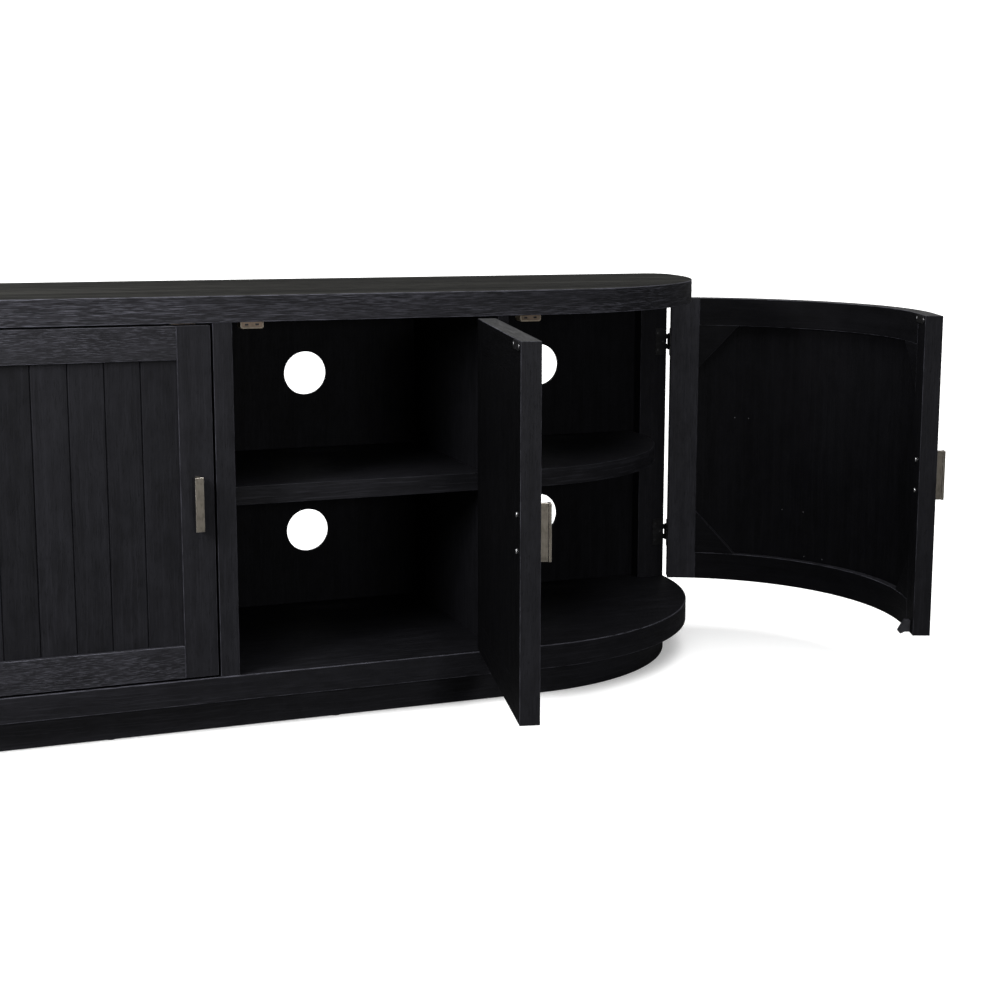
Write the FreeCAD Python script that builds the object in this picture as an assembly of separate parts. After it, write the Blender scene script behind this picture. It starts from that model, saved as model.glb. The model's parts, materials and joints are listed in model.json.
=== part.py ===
"""Media cabinet with curved ends, four hinged doors, one shelf in each bay.

Millimetres.  X runs along the cabinet, -Y is the front, +Z is up.  The origin is on the
floor, at the middle of the length and of the depth.  The cabinet's right half is built and
mirrored in X for the left half.  The two doors left of the centre are modelled closed.  The
two right of it are built closed and then turned open about their hinge pins.
"""
import FreeCAD, Part
import math
import os

from FreeCAD import Vector

os.makedirs("parts", exist_ok=True)

# ---------------------------------------------------------------- driving dimensions
HEIGHT = 762.0              # floor to the top face
HALF_LENGTH = 1052.0        # centre to the widest point of the rounded end
DEPTH = 500.0               # front edge to back edge of the top
SLAB = 45.0                 # thickness of the top and of the bottom
UNDERSIDE = 61.0            # floor to the underside of the bottom
FRONT_RADIUS = 455.0        # plan radius of the big front corner
BACK_RADIUS = 45.0          # plan radius of the small back corner
EASE = 1.5                  # eased edges of the top and bottom

GLIDE = 1.2                 # thin nylon glides lift the plinth off the floor
GLIDE_R = 8.5
GLIDE_CHAMFER = 0.5
PLINTH_INSET = 46.0         # plinth face behind the edge of the bottom
PLINTH_BOARD = 18.0
PLINTH_BACK_Y = 230.0
BRACE_X = 504.0             # the outer cross braces, under the side panels

FACE_INSET = 1.5            # door faces behind the edge of the top
DOOR_T = 33.0
REVEAL = 3.5                # gap above and below a door
GAP = 4.0                   # gap at a door's two upright edges
FRAME_W = 57.0              # face width of the door's rails and flat stiles
END_STILE_ANGLE = 8.0       # the curved hinge stile, as an angle of the end's arc, degrees
PANEL_RECESS = 8.0          # door face to panel face
PANEL_T = 10.0
TONGUE = 8.0                # panel and rail tongues in the frame's groove
FIT = 0.15                  # clearance of a tongue in its groove
FIELD_GAP = 0.4             # round the thick middle of a flat door's panel
V_WIDTH = 3.2
V_DEPTH = 2.2
FLAT_PLANKS = 6
END_PLANKS = 11
GUSSET = 90.0               # legs of the corner blocks inside the curved doors

POST_W = 33.0               # centre post
DIVIDER = 20.0
SIDE_X = 494.0              # inner face of the panel between flat bay and curved bay
BACK_Y = 238.0              # front face of the back panels
BACK_T = 10.0
REAR_POST_X = 990.0

SHELF_T = 33.0
SHELF_TOP = 425.0
SHELF_FRONT = 70.0          # shelf edge behind the edge of the top
SHELF_PLAY = 0.5
PIN_R = 2.5
PIN_DEPTH = 8.0
PIN_PLAY = 0.05
SHELF_PIN_FRONT = -150.0    # Y of the front and back pins in the upright panels
SHELF_PIN_BACK = 200.0
REAR_PIN_Y = 222.0          # pin in the rear post
BACK_PIN_X = 900.0          # pin in the back panel, under the curved shelf
BACK_PIN_BITE = 6.0

HOLE_R = 43.0               # cable holes
HOLE_Z = (255.0, 574.5)
FLAT_HOLE_X = 266.0
END_HOLE_X = 770.0

HANDLE_L = 93.0
HANDLE_W = 14.5
HANDLE_WEB = 7.0
HANDLE_OUT = 20.5           # how far the pull stands off the door
HANDLE_PLATE = 4.5
HANDLE_Z = 413.0
HANDLE_HOLES = 58.0         # screw spacing
SCREW_R = 2.0
SCREW_HEAD_R = 4.0
SCREW_HEAD_H = 2.6
SCREW_BITE = 10.0           # thread length inside the pull

PIN_OUT = 4.0               # hinge pin in front of the door face
HINGE_END = 95.0            # hinge centre from the door's top or bottom edge
LEAF_H = 57.0
LEAF_W = 25.5
LEAF_T = 1.5
BARREL_H = 32.0
BARREL_R = 3.2
BARREL_GAP = 0.35
HINGE_PIN_R = 1.6
HINGE_BORE_R = 1.65
PIN_HEAD_R = 2.5
PIN_HEAD_H = 1.2

CATCH = (40.0, 24.0, 14.0)  # magnetic catch, along X, Y and Z
CATCH_ROUND = 4.0
FLAT_CATCH_S = 37.5         # catch centre from the door's free edge
END_CATCH_S = 52.0
CATCH_GAP = 1.6             # between the catch and the strike plate of a closed door
STRIKE = (62.0, 14.0, 1.2)
STRIKE_S = 38.0             # strike plate's centre from the door's free edge
STRIKE_DOWN = 5.0           # strike plate's upper edge below the top
STRIKE_SCREWS = 50.0        # spacing of its two screws
STRIKE_HEAD_R = 3.4
STRIKE_HEAD_H = 0.9
LUG_S = 30.0                # stop lug's centre from the curved door's free edge
LUG_W = 14.0
LUG_SIDE = ((0, 2), (0, 24), (10, 24), (22, 3), (18, -2), (10, 2))
LUG_ROUND = 2.4

FLAT_OPEN = 78.0            # degrees that the right flat door stands open
END_OPEN = 69.2             # degrees that the right curved door stands open

# ---------------------------------------------------------------- worked-out dimensions
FRONT_Y = -DEPTH / 2
FACE_Y = FRONT_Y + FACE_INSET
ARC_X = HALF_LENGTH - FRONT_RADIUS
ARC_Y = FRONT_Y + FRONT_RADIUS
BACK_EDGE_Y = DEPTH / 2
FLOOR_Z = UNDERSIDE + SLAB              # inside bottom of the bays
CEILING_Z = HEIGHT - SLAB               # inside top of the bays
DOOR_Z0 = FLOOR_Z + REVEAL
DOOR_Z1 = CEILING_Z - REVEAL
OUTER_SIDE_X = SIDE_X + DIVIDER
FLAT_FREE_X = POST_W / 2 + GAP
END_FREE_X = OUTER_SIDE_X + GAP
FACE_RADIUS = FRONT_RADIUS - FACE_INSET
HANDLE_S = FRAME_W / 2
HINGE_Z = (DOOR_Z0 + HINGE_END, DOOR_Z1 - HINGE_END)
PANEL_BACK = PANEL_RECESS + PANEL_T
FLAT_PIN = (SIDE_X - GAP / 2, FACE_Y - PIN_OUT)
END_PIN = (HALF_LENGTH - FACE_INSET + PIN_OUT, ARC_Y)
UP = Vector(0, 0, 1)


# ---------------------------------------------------------------- small helpers
def box(x0, x1, y0, y1, z0, z1):
    return Part.makeBox(x1 - x0, y1 - y0, z1 - z0, Vector(x0, y0, z0))


def upright(x, y, radius, z0, z1):
    return Part.makeCylinder(radius, z1 - z0, Vector(x, y, z0), UP)


def extruded(edges, z0, z1):
    """Solid of a closed plan outline between two heights."""
    face = Part.Face(Part.Wire(edges))
    solid = face.extrude(Vector(0, 0, z1 - z0))
    solid.translate(Vector(0, 0, z0))
    return solid


def line(a, b):
    return Part.LineSegment(Vector(a[0], a[1], 0), Vector(b[0], b[1], 0)).toShape()


def arc(a, middle, b):
    return Part.Arc(*[Vector(p[0], p[1], 0) for p in (a, middle, b)]).toShape()


def on_circle(x, y, radius, degrees):
    turn = math.radians(degrees)
    return (x + radius * math.cos(turn), y + radius * math.sin(turn))


def mirrored(shape):
    return shape.mirror(Vector(0, 0, 0), Vector(1, 0, 0))


def both_sides(shape):
    return [shape, mirrored(shape)]


def turned(shape, pin, degrees):
    """Copy of a shape turned about an upright hinge pin."""
    copy = shape.copy()
    copy.rotate(Vector(pin[0], pin[1], 0), UP, degrees)
    return copy


def cut_all(shape, tools):
    return shape.cut(Part.makeCompound(tools)) if tools else shape


def solids_of(shapes):
    """One compound of separate solids."""
    found = []
    for shape in shapes:
        found.extend(shape.Solids)
    return Part.makeCompound(found)


def save(name, shape):
    solids = shape.Solids
    assert solids, name
    assert all(solid.isValid() and solid.Volume > 0 for solid in solids), name
    result = solids[0] if len(solids) == 1 else Part.makeCompound(solids)
    result.exportStep("parts/" + name + ".step")


# ---------------------------------------------------------------- plan outlines
def end_outline(inset, inner_x, back_y):
    """Half of the rounded plan: from inner_x round the right end to the back."""
    radius = FRONT_RADIUS - inset
    start = (ARC_X, ARC_Y - radius)
    side = (ARC_X + radius, ARC_Y)
    edges = [line((inner_x, start[1]), start)]
    edges.append(arc(start, on_circle(ARC_X, ARC_Y, radius, -45), side))
    small = BACK_RADIUS - inset
    if small > 0 and back_y > ARC_Y + small - 1:
        corner_x = side[0] - small
        corner = (corner_x, ARC_Y + small)
        edges.append(arc(side, on_circle(corner_x, ARC_Y, small, 45), corner))
        back = corner
    else:
        back = (side[0], back_y)
        edges.append(line(side, back))
    edges.append(line(back, (inner_x, back[1])))
    edges.append(line((inner_x, back[1]), (inner_x, start[1])))
    return edges


def slab(z0):
    """Top or bottom board, with the full rounded plan and eased edges."""
    half = extruded(end_outline(0, 0, BACK_EDGE_Y), z0, z0 + SLAB)
    whole = half.fuse(mirrored(half)).removeSplitter()
    rims = [edge for edge in whole.Edges
            if abs(edge.BoundBox.ZLength) < 0.01]
    return whole.makeFillet(EASE, rims)


# ---------------------------------------------------------------- plinth
def plinth_skirt():
    outer = extruded(end_outline(PLINTH_INSET, 0, PLINTH_BACK_Y), GLIDE, UNDERSIDE)
    inner = extruded(end_outline(PLINTH_INSET + PLINTH_BOARD, 0, PLINTH_BACK_Y + 1),
                     GLIDE - 1, UNDERSIDE + 1)
    half = outer.cut(inner)
    return half.fuse(mirrored(half)).removeSplitter()


def plinth_rear_x():
    return HALF_LENGTH - PLINTH_INSET - PLINTH_BOARD


def plinth_back():
    x = plinth_rear_x()
    return box(-x, x, PLINTH_BACK_Y - PLINTH_BOARD, PLINTH_BACK_Y, GLIDE, UNDERSIDE)


def plinth_braces():
    front = FRONT_Y + PLINTH_INSET + PLINTH_BOARD
    back = PLINTH_BACK_Y - PLINTH_BOARD
    half = PLINTH_BOARD / 2
    return [box(x - half, x + half, front, back, GLIDE, UNDERSIDE)
            for x in (-BRACE_X, 0.0, BRACE_X)]


def glide_places():
    front = FRONT_Y + PLINTH_INSET + PLINTH_BOARD / 2
    rear = PLINTH_BACK_Y - PLINTH_BOARD / 2
    middle_radius = FRONT_RADIUS - PLINTH_INSET - PLINTH_BOARD / 2
    curve = on_circle(ARC_X, ARC_Y, middle_radius, -40)
    places = [(0.0, 0.0)]
    for x, y in ((200, front), (560, front), curve, (310, rear), (930, rear)):
        places.extend([(x, y), (-x, y)])
    return places


def floor_glides():
    glides = []
    for x, y in glide_places():
        disc = upright(x, y, GLIDE_R, 0, GLIDE)
        bottom_rim = [edge for edge in disc.Edges if edge.BoundBox.ZMax < 0.01]
        glides.append(disc.makeChamfer(GLIDE_CHAMFER, bottom_rim))
    return glides


# ---------------------------------------------------------------- carcass
def centre_post():
    return box(-POST_W / 2, POST_W / 2, FACE_Y, FACE_Y + DOOR_T, FLOOR_Z, CEILING_Z)


def shelf_pin_holes():
    """Cylinders of the shelf pins' holes, right half of the cabinet."""
    return [Part.makeCylinder(PIN_R + PIN_PLAY, length, start, direction)
            for start, direction, length in pin_axes(PIN_PLAY)]


def pin_axes(play):
    """Start, direction and length of each shelf pin on the right half."""
    z = SHELF_TOP - SHELF_T - PIN_R
    long = 2 * PIN_DEPTH + play
    right, left, back = Vector(1, 0, 0), Vector(-1, 0, 0), Vector(0, 1, 0)
    axes = []
    for y in (SHELF_PIN_FRONT, SHELF_PIN_BACK):
        axes.append((Vector(DIVIDER / 2 + PIN_DEPTH, y, z), left, long))
        axes.append((Vector(SIDE_X - PIN_DEPTH, y, z), right, long))
        axes.append((Vector(OUTER_SIDE_X + PIN_DEPTH, y, z), left, long))
    reach = REAR_POST_X - (ARC_X + FRONT_RADIUS - SHELF_FRONT)
    axes.append((Vector(REAR_POST_X - reach - PIN_DEPTH, REAR_PIN_Y, z), right, long + reach))
    axes.append((Vector(BACK_PIN_X, BACK_Y - PIN_DEPTH, z), back, BACK_PIN_BITE + PIN_DEPTH + play))
    return axes


def centre_divider():
    panel = box(-DIVIDER / 2, DIVIDER / 2, FACE_Y + DOOR_T, BACK_Y, FLOOR_Z, CEILING_Z)
    holes = shelf_pin_holes()
    return cut_all(panel, holes + [mirrored(hole) for hole in holes])


def side_divider():
    panel = box(SIDE_X, OUTER_SIDE_X, FACE_Y, BACK_Y, FLOOR_Z, CEILING_Z)
    return cut_all(panel, shelf_pin_holes())


def rear_post():
    """Post behind a curved door's hinges, with the cabinet's rounded back corner."""
    small = BACK_RADIUS - FACE_INSET
    corner_x = HALF_LENGTH - BACK_RADIUS
    front_y = ARC_Y + GAP / 2
    start_turn = math.degrees(math.asin((front_y - ARC_Y) / small))
    start = on_circle(corner_x, ARC_Y, small, start_turn)
    middle = on_circle(corner_x, ARC_Y, small, 45)
    end = (corner_x, ARC_Y + small)
    edges = [line((REAR_POST_X, front_y), start), arc(start, middle, end),
             line(end, (REAR_POST_X, end[1])), line((REAR_POST_X, end[1]), (REAR_POST_X, front_y))]
    return cut_all(extruded(edges, FLOOR_Z, CEILING_Z), shelf_pin_holes())


def back_panel(x0, x1, hole_x):
    panel = box(x0, x1, BACK_Y, BACK_Y + BACK_T, FLOOR_Z, CEILING_Z)
    holes = [Part.makeCylinder(HOLE_R, BACK_T, Vector(hole_x, BACK_Y, z), Vector(0, 1, 0))
             for z in HOLE_Z]
    return cut_all(panel, holes + shelf_pin_holes())


def flat_shelf():
    return box(DIVIDER / 2 + SHELF_PLAY, SIDE_X - SHELF_PLAY, FRONT_Y + SHELF_FRONT,
               BACK_Y - SHELF_PLAY, SHELF_TOP - SHELF_T, SHELF_TOP)


def end_shelf():
    edges = end_outline(SHELF_FRONT, OUTER_SIDE_X + SHELF_PLAY, BACK_Y - SHELF_PLAY)
    return extruded(edges, SHELF_TOP - SHELF_T, SHELF_TOP)


def shelf_pins():
    return [Part.makeCylinder(PIN_R, length, start, direction)
            for start, direction, length in pin_axes(0)]


# ---------------------------------------------------------------- doors
class Door:
    """A closed door of the right half, described along its outer face.

    s is the distance along the face from the free edge, v the depth behind the face.
    The face is straight for straight_length and then follows the end's arc.  hinge_gap is a
    block that fills the gap beyond the door's hinged edge.
    """

    def __init__(self, free_x, straight_length, arc_angle, hinge_gap):
        self.free_x = free_x
        self.straight = straight_length
        self.curved = arc_angle > 0
        self.length = straight_length + math.radians(arc_angle) * FACE_RADIUS
        self.hinge_gap = hinge_gap

    def point(self, s, v):
        if s <= self.straight:
            return (self.free_x + s, FACE_Y + v)
        turn = -90.0 + math.degrees((s - self.straight) / FACE_RADIUS)
        return on_circle(ARC_X, ARC_Y, FACE_RADIUS - v, turn)

    def direction_in(self, s):
        """Unit vector from the face into the cabinet."""
        face, deeper = self.point(s, 0), self.point(s, 1)
        return Vector(deeper[0] - face[0], deeper[1] - face[1], 0)

    def curve(self, s0, s1, v):
        """Edges along the door at depth v, from s0 to s1, with s0 < s1."""
        edges = []
        bend = self.straight
        if s0 < bend:
            edges.append(line(self.point(s0, v), self.point(min(s1, bend), v)))
        if s1 > bend:
            first = max(s0, bend)
            middle = (first + s1) / 2
            edges.append(arc(self.point(first, v), self.point(middle, v), self.point(s1, v)))
        return edges

    def band(self, s0, s1, v0, v1, z0, z1):
        """Block that follows the door between two lengths, depths and heights."""
        edges = self.curve(s0, s1, v0)
        edges.append(line(self.point(s1, v0), self.point(s1, v1)))
        edges.extend(reversed(self.curve(s0, s1, v1)))
        edges.append(line(self.point(s0, v1), self.point(s0, v0)))
        return extruded(Part.__sortEdges__(edges), z0, z1)


def flat_door():
    edge = SIDE_X - GAP
    return Door(FLAT_FREE_X, edge - FLAT_FREE_X, 0.0, box(edge, SIDE_X, FRONT_Y, 0, 0, HEIGHT))


def end_door():
    edge = ARC_Y - GAP / 2
    arc_angle = 90.0 - math.degrees(math.asin(GAP / 2 / FACE_RADIUS))
    gap_block = box(ARC_X, HALF_LENGTH, edge, edge + GAP, 0, HEIGHT)
    return Door(END_FREE_X, ARC_X - END_FREE_X, arc_angle, gap_block)


def frame_groove(door, s0, s1, z0, z1):
    return door.band(s0, s1, PANEL_RECESS - FIT, PANEL_BACK + FIT, z0, z1)


def free_stile(door):
    stile = door.band(0, FRAME_W, 0, DOOR_T, DOOR_Z0, DOOR_Z1)
    groove = frame_groove(door, FRAME_W - TONGUE - FIT, FRAME_W + 1, DOOR_Z0 - 1, DOOR_Z1 + 1)
    x = door.free_x + HANDLE_S
    holes = [Part.makeCylinder(SCREW_R + 0.25, DOOR_T + 2, Vector(x, FACE_Y - 1, z), Vector(0, 1, 0))
             for z in handle_screw_heights()]
    return cut_all(stile, [groove] + holes)


def hinge_stile(door, width):
    inner = door.length - width
    stile = door.band(inner, door.length, 0, DOOR_T, DOOR_Z0, DOOR_Z1)
    groove = frame_groove(door, inner - 1, inner + TONGUE + FIT, DOOR_Z0 - 1, DOOR_Z1 + 1)
    return cut_all(stile, [groove, door.hinge_gap])


def rail(door, s1, z0, z1, tongue_side):
    """Rail between the stiles; tongue_side is +1 when the panel is above it."""
    body = door.band(FRAME_W, s1, 0, DOOR_T, z0, z1)
    tenons = door.band(FRAME_W - TONGUE, s1 + TONGUE, PANEL_RECESS, PANEL_BACK, z0, z1)
    if tongue_side > 0:
        groove = frame_groove(door, FRAME_W - TONGUE - 1, s1 + TONGUE + 1, z1 - TONGUE - FIT, z1 + 1)
    else:
        groove = frame_groove(door, FRAME_W - TONGUE - 1, s1 + TONGUE + 1, z0 - 1, z0 + TONGUE + FIT)
    return body.fuse(tenons).removeSplitter().cut(groove)


def rails(door, s1):
    bottom = rail(door, s1, DOOR_Z0, DOOR_Z0 + FRAME_W, 1)
    top = rail(door, s1, DOOR_Z1 - FRAME_W, DOOR_Z1, -1)
    return [bottom, top]


def plank_panel(door, s1, planks):
    """Panel with upright V grooves on its outer face, held in the frame's groove.

    The flat doors' panel is thicker in the middle, level with the frame's inner face.
    """
    z0 = DOOR_Z0 + FRAME_W - TONGUE
    z1 = DOOR_Z1 - FRAME_W + TONGUE
    panel = door.band(FRAME_W - TONGUE, s1 + TONGUE, PANEL_RECESS, PANEL_BACK, z0, z1)
    if not door.curved:
        inset = TONGUE + FIELD_GAP
        field = door.band(FRAME_W + FIELD_GAP, s1 - FIELD_GAP, PANEL_BACK, DOOR_T, z0 + inset, z1 - inset)
        panel = panel.fuse(field).removeSplitter()
    pitch = (s1 - FRAME_W) / planks
    grooves = []
    for index in range(1, planks):
        s = FRAME_W + index * pitch
        outside = PANEL_RECESS - V_DEPTH
        corners = [door.point(s - V_WIDTH, outside), door.point(s + V_WIDTH, outside),
                   door.point(s, PANEL_RECESS + V_DEPTH)]
        edges = [line(corners[i], corners[(i + 1) % 3]) for i in range(3)]
        grooves.append(extruded(edges, z0 - 1, z1 + 1))
    return cut_all(panel, grooves)


def gusset(door, s_corner, s_way, z_corner, z_way):
    """Triangular block in a corner of the frame, flush with the frame's inner face."""
    s_far = s_corner + s_way * GUSSET
    z_far = z_corner + z_way * GUSSET
    block = door.band(min(s_corner, s_far), max(s_corner, s_far), PANEL_BACK, DOOR_T,
                      min(z_corner, z_far), max(z_corner, z_far))
    near, far = door.point(s_corner, DOOR_T), door.point(s_far, DOOR_T)
    into = door.direction_in((s_corner + s_far) / 2)

    def at(along, rise):
        return Vector(near[0] + (far[0] - near[0]) * along, near[1] + (far[1] - near[1]) * along,
                      z_corner + (z_far - z_corner) * rise)

    ring = [at(-0.2, 1.2), at(1.2, -0.2), at(1.2, 1.2), at(-0.2, 1.2)]
    waste = Part.Face(Part.makePolygon(ring)).extrude(into * (2 * DOOR_T))
    waste.translate(into * -DOOR_T)
    return block.cut(waste)


def gussets(door, s1):
    bottom, top = DOOR_Z0 + FRAME_W, DOOR_Z1 - FRAME_W
    blocks = []
    for s_corner, s_way in ((FRAME_W, 1), (s1, -1)):
        for z_corner, z_way in ((bottom, 1), (top, -1)):
            blocks.append(gusset(door, s_corner, s_way, z_corner, z_way))
    return blocks


# ---------------------------------------------------------------- door hardware
def handle_screw_heights():
    return (HANDLE_Z - HANDLE_HOLES / 2, HANDLE_Z + HANDLE_HOLES / 2)


def handle(door):
    """T-shaped bar pull: a web against the door and a wider front plate."""
    x = door.free_x + HANDLE_S
    z0, z1 = HANDLE_Z - HANDLE_L / 2, HANDLE_Z + HANDLE_L / 2
    plate_y = FACE_Y - HANDLE_OUT
    web = box(x - HANDLE_WEB / 2, x + HANDLE_WEB / 2, plate_y + 1, FACE_Y, z0, z1)
    plate = box(x - HANDLE_W / 2, x + HANDLE_W / 2, plate_y, plate_y + HANDLE_PLATE, z0, z1)
    front = [edge for edge in plate.Edges if edge.BoundBox.YMax < plate_y + 0.01]
    pull = plate.makeChamfer(0.6, front).fuse(web).removeSplitter()
    depth = SCREW_BITE + 1
    holes = [Part.makeCylinder(SCREW_R + FIT / 3, depth, Vector(x, FACE_Y - depth, z), Vector(0, 1, 0))
             for z in handle_screw_heights()]
    return cut_all(pull, holes)


def handle_screws(door):
    """Two pan-head screws through the free stile into the pull."""
    x = door.free_x + HANDLE_S
    inner_y = FACE_Y + DOOR_T
    screws = []
    for z in handle_screw_heights():
        shank = Part.makeCylinder(SCREW_R, DOOR_T + SCREW_BITE, Vector(x, FACE_Y - SCREW_BITE, z),
                                  Vector(0, 1, 0))
        head = Part.makeCylinder(SCREW_HEAD_R, SCREW_HEAD_H, Vector(x, inner_y, z), Vector(0, 1, 0))
        rim = [edge for edge in head.Edges if edge.BoundBox.YMin > inner_y + SCREW_HEAD_H - 0.01]
        screws.append(head.makeFillet(1.6, rim).fuse(shank).removeSplitter())
    return screws


def strike_plate(door):
    """Steel plate that the magnetic catch holds, with its two screw heads."""
    length, height, thick = STRIKE
    x = door.free_x + STRIKE_S
    y = FACE_Y + DOOR_T
    z0 = CEILING_Z - STRIKE_DOWN - height
    plate = box(x - length / 2, x + length / 2, y, y + thick, z0, z0 + height)
    corners = [edge for edge in plate.Edges if edge.BoundBox.YLength > thick - 0.01
               and edge.BoundBox.ZLength < 0.01 and edge.BoundBox.XLength < 0.01]
    plate = plate.makeFillet(height / 2 - 1, corners)
    for side in (-1, 1):
        place = Vector(x + side * STRIKE_SCREWS / 2, y + thick, z0 + height / 2)
        head = Part.makeCylinder(STRIKE_HEAD_R, STRIKE_HEAD_H, place, Vector(0, 1, 0))
        plate = plate.fuse(head)
    return plate.removeSplitter()


def magnetic_catch(door, catch_s):
    length, deep, high = CATCH
    x = door.free_x + catch_s
    y = FACE_Y + DOOR_T + STRIKE[2] + CATCH_GAP
    body = box(x - length / 2, x + length / 2, y, y + deep, CEILING_Z - high, CEILING_Z)
    lower = [edge for edge in body.Edges if edge.BoundBox.ZMax < CEILING_Z - high + 0.01
             and edge.BoundBox.YLength > deep - 0.01]
    return body.makeFillet(CATCH_ROUND, lower)


def stop_lug(door):
    """Rounded lug at the foot of the curved door's inner face, close above the bottom."""
    x0 = door.free_x + LUG_S - LUG_W / 2
    y = FACE_Y + DOOR_T
    corners = [Vector(x0, y + out, DOOR_Z0 + rise) for out, rise in LUG_SIDE]
    lug = Part.Face(Part.makePolygon(corners + corners[:1])).extrude(Vector(LUG_W, 0, 0))
    across = [edge for edge in lug.Edges if edge.BoundBox.XLength > LUG_W - 0.01]
    outer = [edge for edge in across if edge.BoundBox.YMin > y + 9]
    return lug.makeFillet(LUG_ROUND, outer)


def hinge_part(heights, side, z_centre):
    """Leaf and knuckles round the pin; x runs into the gap, side +1 is the door's side."""
    thin, far = sorted((side * (GAP / 2 - LEAF_T), side * GAP / 2))
    neck_end = PIN_OUT + 1
    leaf = box(neck_end, neck_end + LEAF_W, thin, far, z_centre - LEAF_H / 2, z_centre + LEAF_H / 2)
    for low, high in heights:
        neck = box(0, neck_end + 1, thin, far, z_centre + low, z_centre + high)
        knuckle = upright(0, 0, BARREL_R, z_centre + low, z_centre + high)
        leaf = leaf.fuse([neck, knuckle])
    bore = upright(0, 0, HINGE_BORE_R, z_centre - BARREL_H, z_centre + BARREL_H)
    return leaf.removeSplitter().cut(bore)


def hinge_pin(z_centre):
    half = BARREL_H / 2 + BARREL_GAP
    pin = upright(0, 0, HINGE_PIN_R, z_centre - half, z_centre + half)
    low_head = upright(0, 0, PIN_HEAD_R, z_centre - half - PIN_HEAD_H, z_centre - half)
    high_head = upright(0, 0, PIN_HEAD_R, z_centre + half, z_centre + half + PIN_HEAD_H)
    return pin.fuse([low_head, high_head]).removeSplitter()


def placed(shape, pin, degrees):
    copy = shape.copy()
    copy.rotate(Vector(0, 0, 0), UP, degrees)
    copy.translate(Vector(pin[0], pin[1], 0))
    return copy


def hinges(pin, into_gap_degrees):
    """Door leaves, frame leaves and pins of one door's two hinges."""
    third = BARREL_H / 6
    middle = [(-third + BARREL_GAP / 2, third - BARREL_GAP / 2)]
    ends = [(third + BARREL_GAP / 2, BARREL_H / 2), (-BARREL_H / 2, -third - BARREL_GAP / 2)]
    door_leaves = [placed(hinge_part(middle, 1, z), pin, into_gap_degrees) for z in HINGE_Z]
    frame_leaves = [placed(hinge_part(ends, -1, z), pin, into_gap_degrees) for z in HINGE_Z]
    pins = [placed(hinge_pin(z), pin, into_gap_degrees) for z in HINGE_Z]
    return door_leaves, frame_leaves, pins


# ---------------------------------------------------------------- assembly
def door_pieces(door, stile_width, planks):
    """Every piece that swings with one door, closed, on the right half."""
    s1 = door.length - stile_width
    return {
        "free_stile": free_stile(door),
        "hinge_stile": hinge_stile(door, stile_width),
        "rails": solids_of(rails(door, s1)),
        "plank_panel": plank_panel(door, s1, planks),
        "handle": handle(door),
        "handle_screws": solids_of(handle_screws(door)),
        "strike_plate": strike_plate(door),
    }


def save_door_pair(kind, pieces, pin, open_degrees):
    """Left door closed, right door turned open about its pin."""
    for name, shape in pieces.items():
        save(kind + "_left_" + name, mirrored(shape))
        save(kind + "_right_" + name, turned(shape, pin, open_degrees))


def main():
    save("top_slab", slab(CEILING_Z))
    save("bottom_slab", slab(UNDERSIDE))
    save("plinth_skirt", plinth_skirt())
    save("plinth_back", plinth_back())
    save("plinth_braces", solids_of(plinth_braces()))
    save("floor_glides", solids_of(floor_glides()))

    save("centre_post", centre_post())
    save("centre_divider", centre_divider())
    seam = (SIDE_X + OUTER_SIDE_X) / 2
    right_half = {
        "divider": side_divider(),
        "rear_post": rear_post(),
        "back_panel_inner": back_panel(0, seam, FLAT_HOLE_X),
        "back_panel_outer": back_panel(seam, REAR_POST_X, END_HOLE_X),
        "shelf_flat": flat_shelf(),
        "shelf_end": end_shelf(),
    }
    for name, shape in right_half.items():
        save(name + "_right", shape)
        save(name + "_left", mirrored(shape))
    pins = shelf_pins()
    save("shelf_pins", solids_of(pins + [mirrored(pin) for pin in pins]))

    flat, end = flat_door(), end_door()
    flat_pieces = door_pieces(flat, FRAME_W, FLAT_PLANKS)
    end_stile = math.radians(END_STILE_ANGLE) * FACE_RADIUS
    end_pieces = door_pieces(end, end_stile, END_PLANKS)
    end_pieces["gussets"] = solids_of(gussets(end, end.length - end_stile))
    end_pieces["stop_lug"] = stop_lug(end)

    frame_leaves, hinge_pins = [], []
    for pieces, pin, into_gap in ((flat_pieces, FLAT_PIN, 90), (end_pieces, END_PIN, 180)):
        door_leaves, fixed_leaves, door_pins = hinges(pin, into_gap)
        pieces["hinge_leaves"] = solids_of(door_leaves)
        frame_leaves.extend(fixed_leaves)
        hinge_pins.extend(door_pins)
    save_door_pair("door", flat_pieces, FLAT_PIN, FLAT_OPEN)
    save_door_pair("end_door", end_pieces, END_PIN, END_OPEN)
    save("hinge_frame_leaves", solids_of(frame_leaves + [mirrored(leaf) for leaf in frame_leaves]))
    save("hinge_pins", solids_of(hinge_pins + [mirrored(pin) for pin in hinge_pins]))

    catches = [magnetic_catch(flat, FLAT_CATCH_S), magnetic_catch(end, END_CATCH_S)]
    save("magnetic_catches", solids_of(catches + [mirrored(catch) for catch in catches]))


main()
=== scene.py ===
"""Looks of the media cabinet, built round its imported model.

Metres.  X runs along the cabinet, -Y is the front, +Z is up and the floor is at z = 0.  Wooden
pieces are built for the closed cabinet's right half.  Left pieces are their mirror images, and
the right doors are then turned open about their hinge pins, as they are stored.
"""
import math
import random

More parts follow.
